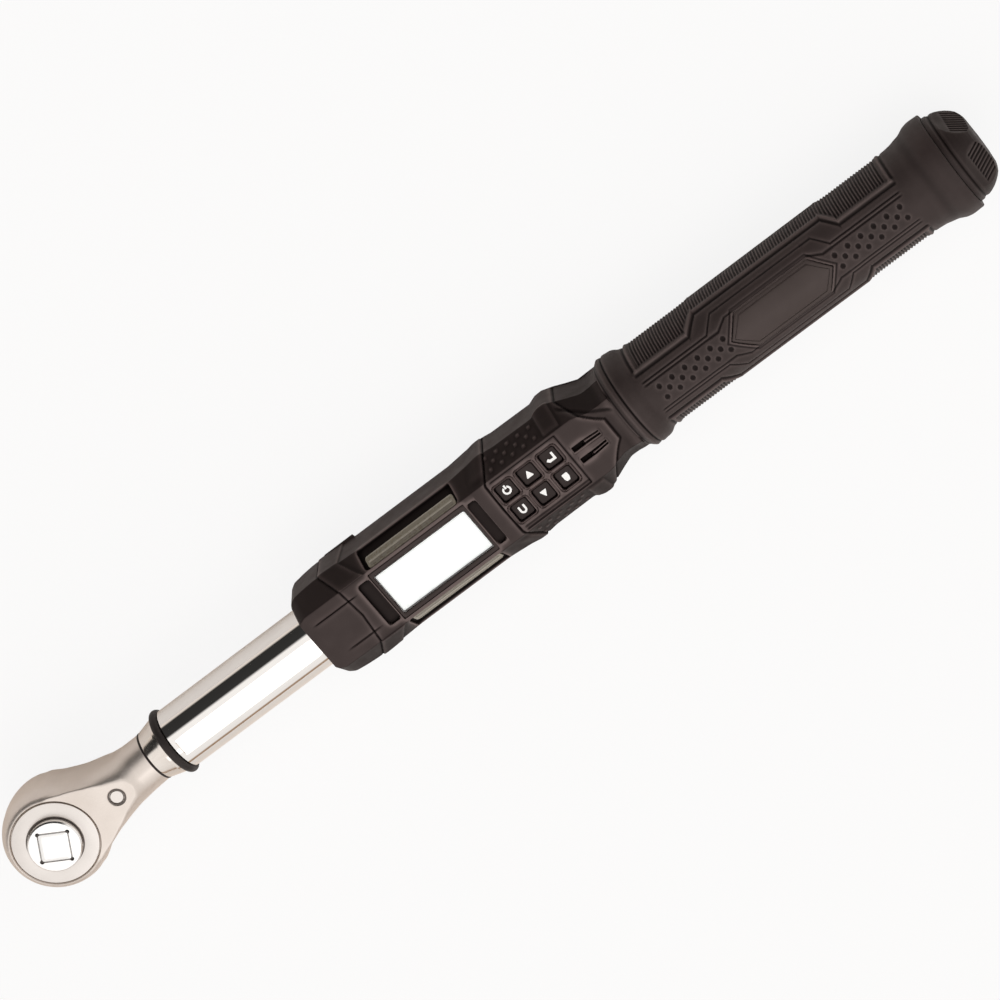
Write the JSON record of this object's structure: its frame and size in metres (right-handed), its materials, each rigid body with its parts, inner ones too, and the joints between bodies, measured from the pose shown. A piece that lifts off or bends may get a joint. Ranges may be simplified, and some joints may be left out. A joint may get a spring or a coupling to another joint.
{
  "type": "torque wrench",
  "caption": "Electronic torque wrench with a push-through ratchet head, chromed shaft, keyed display housing and ribbed battery handle.",
  "frame": {"origin": "where the square drive's axis crosses the tool's long axis, at mid-thickness of the head", "axes": "+X along the tool from the head to the end cap, +Z out of the display face, the drive stands out along -Z"},
  "size_m": [0.5073, 0.0466, 0.0581],
  "materials": {
    "steel_satin": "fine satin, forged and ground",
    "steel_bright": "bright turned steel",
    "chrome": "mirror chrome plate",
    "steel_dark": "hardened steel",
    "seal_rubber": "black rubber",
    "gauge_foil": "amber foil",
    "housing_black": "fine-textured black",
    "frame_black": "smooth black",
    "lens_clear": "clear polycarbonate",
    "lcd_white": "pale display",
    "bar_olive": "smoked translucent olive",
    "board_green": "circuit board",
    "chip_black": "black parts",
    "key_black": "soft-touch key",
    "sleeve_grey": "filled polyamide",
    "grip_black": "soft-touch grip",
    "plaque_grey": "satin plate",
    "cell_wrap": "cell wrap",
    "contact_brass": "plated contact",
    "cap_black": "fine-textured black"
  },
  "bodies": {
    "wrench": {"ratchet_head": "steel_satin", "cover_upper": "steel_satin", "cover_lower": "steel_satin", "pawl_pin": "steel_bright", "pawl_spring": "steel_dark", "neck_seal": "seal_rubber", "neck_collar": "chrome", "collar_o_ring": "seal_rubber", "outer_tube": "chrome", "load_beam": "steel_dark", "strain_gauges": "gauge_foil", "beam_pins": "steel_dark", "housing_top": "housing_black", "housing_bottom": "housing_black", "housing_screws": "steel_dark", "display_frame": "frame_black", "display_lens": "lens_clear", "lcd_module": "lcd_white", "light_bars": "bar_olive", "main_board": "board_green", "board_chips": "chip_black", "buzzer": "chip_black", "key_switches": "chip_black", "spine_bar": "steel_dark", "battery_tube": "sleeve_grey", "handle_grip": "grip_black", "grip_plaque": "plaque_grey", "battery_1": "cell_wrap", "battery_2": "cell_wrap", "battery_3": "cell_wrap", "front_contact": "contact_brass"},
    "gear": {"ratchet_gear": "steel_bright"},
    "drive": {"square_drive": "steel_bright", "detent_spring": "steel_dark"},
    "ball": {"detent_ball": "steel_bright"},
    "pawl_arm": {"pawl": "steel_dark"},
    "cap_carrier": {"cap_contact": "contact_brass", "cap_contact_spring": "steel_dark"},
    "cap": {"end_cap": "cap_black", "cap_o_ring": "seal_rubber"},
    "key_power": {"key_power": "key_black"},
    "key_up": {"key_up": "key_black"},
    "key_enter": {"key_enter": "key_black"},
    "key_units": {"key_units": "key_black"},
    "key_down": {"key_down": "key_black"},
    "key_memory": {"key_memory": "key_black"}
  },
  "joints": [
    {"name": "ratchet_spin", "type": "hinge", "parent": "wrench", "child": "gear", "pos_m": [0, 0, 0], "axis": [0, 0, 1], "continuous": true},
    {"name": "drive_push", "type": "slide", "parent": "gear", "child": "drive", "axis": [0, 0, 1], "range_m": [0, 0.016]},
    {"name": "detent_press", "type": "slide", "parent": "drive", "child": "ball", "axis": [-0.8572, 0.515, 0], "range_m": [0, 0.0007], "stiffness_N_per_m": 1500, "springref_m": -0.001, "deforming": ["detent_spring"]},
    {"name": "pawl_swing", "type": "hinge", "parent": "wrench", "child": "pawl_arm", "pos_m": [0.0338, 0, 0], "axis": [0, 0, -1], "range_deg": [0, 5.5], "stiffness_Nm_per_rad": 0.05, "springref_deg": -11.46, "deforming": ["pawl_spring"]},
    {"name": "key_power_press", "type": "slide", "parent": "wrench", "child": "key_power", "axis": [0, 0, -1], "range_m": [0, 0.0006], "stiffness_N_per_m": 900, "springref_m": -0.0008},
    {"name": "key_up_press", "type": "slide", "parent": "wrench", "child": "key_up", "axis": [0, 0, -1], "range_m": [0, 0.0006], "stiffness_N_per_m": 900, "springref_m": -0.0008},
    {"name": "key_enter_press", "type": "slide", "parent": "wrench", "child": "key_enter", "axis": [0, 0, -1], "range_m": [0, 0.0006], "stiffness_N_per_m": 900, "springref_m": -0.0008},
    {"name": "key_units_press", "type": "slide", "parent": "wrench", "child": "key_units", "axis": [0, 0, -1], "range_m": [0, 0.0006], "stiffness_N_per_m": 900, "springref_m": -0.0008},
    {"name": "key_down_press", "type": "slide", "parent": "wrench", "child": "key_down", "axis": [0, 0, -1], "range_m": [0, 0.0006], "stiffness_N_per_m": 900, "springref_m": -0.0008},
    {"name": "key_memory_press", "type": "slide", "parent": "wrench", "child": "key_memory", "axis": [0, 0, -1], "range_m": [0, 0.0006], "stiffness_N_per_m": 900, "springref_m": -0.0008},
    {"name": "cap_travel", "type": "slide", "parent": "wrench", "child": "cap_carrier", "axis": [1, 0, 0], "range_m": [0, 0.008]},
    {"name": "cap_turn", "type": "hinge", "parent": "cap_carrier", "child": "cap", "pos_m": [0.47, 0, 0], "axis": [1, 0, 0], "range_deg": [0, 1440]}
  ],
  "couplings": [
    {"joint": "cap_travel", "follows": "cap_turn", "m_per_rad": 0.00031831}
  ]
}
